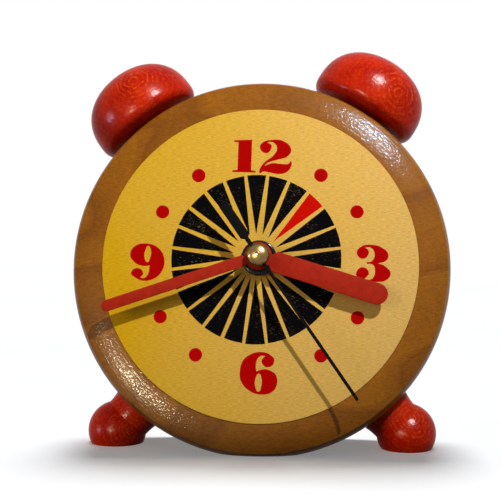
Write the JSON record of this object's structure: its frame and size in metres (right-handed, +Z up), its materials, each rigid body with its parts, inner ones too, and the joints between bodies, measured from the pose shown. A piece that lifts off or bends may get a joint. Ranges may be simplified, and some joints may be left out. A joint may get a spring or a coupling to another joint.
{
  "type": "table clock",
  "caption": "Table clock in turned wood shaped like a twin-bell alarm clock, with ball feet, a printed dial, three hands and a quartz movement with its geared train.",
  "frame": {"origin": "on the table, in the middle of the flat sole under the case", "axes": "+Z up, the dial faces -Y and leans back, +X towards the right side as seen from the front"},
  "size_m": [0.1532, 0.0749, 0.1648],
  "materials": {
    "case_wood": "brown stained and waxed",
    "dial_wood": "printed and varnished, satin",
    "red_wood": "red stained and varnished, glossy",
    "beech": "raw",
    "housing_plastic": "fine grained",
    "gear_plastic": "moulded",
    "knob_plastic": "fine grained",
    "rubber": "matt",
    "black_nut": "glossy black",
    "red_enamel": "satin red",
    "black_enamel": "satin black",
    "cap_brass": "polished, slightly dull",
    "magnet": "matt",
    "stator_steel": "stamped",
    "copper_wire": "enamelled copper wire",
    "board": "lacquered",
    "crystal_can": "bright",
    "chip_resin": "glossy resin",
    "cell_jacket": "printed foil, plain",
    "contact_brass": "nickel plated strip"
  },
  "bodies": {
    "base": {"case_body": "case_wood", "dial_disc": "dial_wood", "bell_left": "red_wood", "bell_right": "red_wood", "foot_left": "red_wood", "foot_right": "red_wood", "knob_dowels": "beech", "movement_front": "housing_plastic", "train_plate": "housing_plastic", "movement_back": "housing_plastic", "rubber_washer": "rubber", "fixing_nut": "black_nut", "stator": "stator_steel", "coil_bobbin": "gear_plastic", "coil_winding": "copper_wire", "coil_core": "stator_steel", "circuit_board": "board", "quartz_crystal": "crystal_can", "chip_cap": "chip_resin", "contact_plus": "contact_brass", "contact_minus": "contact_brass"},
    "seconds": {"seconds_wheel": "gear_plastic", "seconds_hand": "black_enamel", "hub_cap": "cap_brass"},
    "third": {"third_wheel": "gear_plastic"},
    "centre": {"centre_wheel": "gear_plastic"},
    "fifth": {"fifth_wheel": "gear_plastic"},
    "rotor": {"rotor_pinion": "gear_plastic", "rotor_magnet": "magnet"},
    "minute": {"cannon_pinion": "gear_plastic", "minute_hand": "red_enamel"},
    "motion": {"motion_wheel": "gear_plastic"},
    "hour": {"hour_wheel": "gear_plastic", "hour_hand": "red_enamel"},
    "setting": {"setting_pinion": "gear_plastic", "setting_knob": "knob_plastic"},
    "cell": {"battery_cell": "cell_jacket"}
  },
  "joints": [
    {"name": "seconds_spin", "type": "hinge", "parent": "base", "child": "seconds", "pos_m": [0, -0.01081, 0.07738], "axis": [0, 0.9893, -0.1461], "continuous": true},
    {"name": "third_spin", "type": "hinge", "parent": "base", "child": "third", "pos_m": [0.00883, -0.01007, 0.08243], "axis": [0, 0.9893, -0.1461], "continuous": true},
    {"name": "centre_spin", "type": "hinge", "parent": "base", "child": "centre", "pos_m": [0, -0.01081, 0.07738], "axis": [0, 0.9893, -0.1461], "continuous": true},
    {"name": "fifth_spin", "type": "hinge", "parent": "base", "child": "fifth", "pos_m": [-0.00156, -0.00952, 0.08615], "axis": [0, 0.9893, -0.1461], "continuous": true},
    {"name": "rotor_spin", "type": "hinge", "parent": "base", "child": "rotor", "pos_m": [0.00339, -0.00879, 0.09105], "axis": [0, 0.9893, -0.1461], "continuous": true},
    {"name": "minute_spin", "type": "hinge", "parent": "base", "child": "minute", "pos_m": [0, -0.01081, 0.07738], "axis": [0, 0.9893, -0.1461], "continuous": true},
    {"name": "motion_spin", "type": "hinge", "parent": "base", "child": "motion", "pos_m": [-0.00482, -0.00981, 0.08419], "axis": [0, 0.9893, -0.1461], "continuous": true},
    {"name": "hour_spin", "type": "hinge", "parent": "base", "child": "hour", "pos_m": [0, -0.01081, 0.07738], "axis": [0, 0.9893, -0.1461], "continuous": true},
    {"name": "setting_spin", "type": "hinge", "parent": "base", "child": "setting", "pos_m": [-0.01209, -0.00919, 0.08834], "axis": [0, 0.9893, -0.1461], "continuous": true},
    {"name": "cell_slide", "type": "slide", "parent": "base", "child": "cell", "axis": [0, 0.9893, -0.1461], "range_m": [0, 0.018]}
  ],
  "couplings": [
    {"joint": "third_spin", "follows": "seconds_spin", "ratio": -0.13333},
    {"joint": "centre_spin", "follows": "seconds_spin", "ratio": 0.016667},
    {"joint": "fifth_spin", "follows": "seconds_spin", "ratio": -5},
    {"joint": "rotor_spin", "follows": "seconds_spin", "ratio": 30},
    {"joint": "motion_spin", "follows": "minute_spin", "ratio": -0.33333},
    {"joint": "hour_spin", "follows": "minute_spin", "ratio": 0.083333},
    {"joint": "setting_spin", "follows": "minute_spin", "ratio": 1}
  ]
}
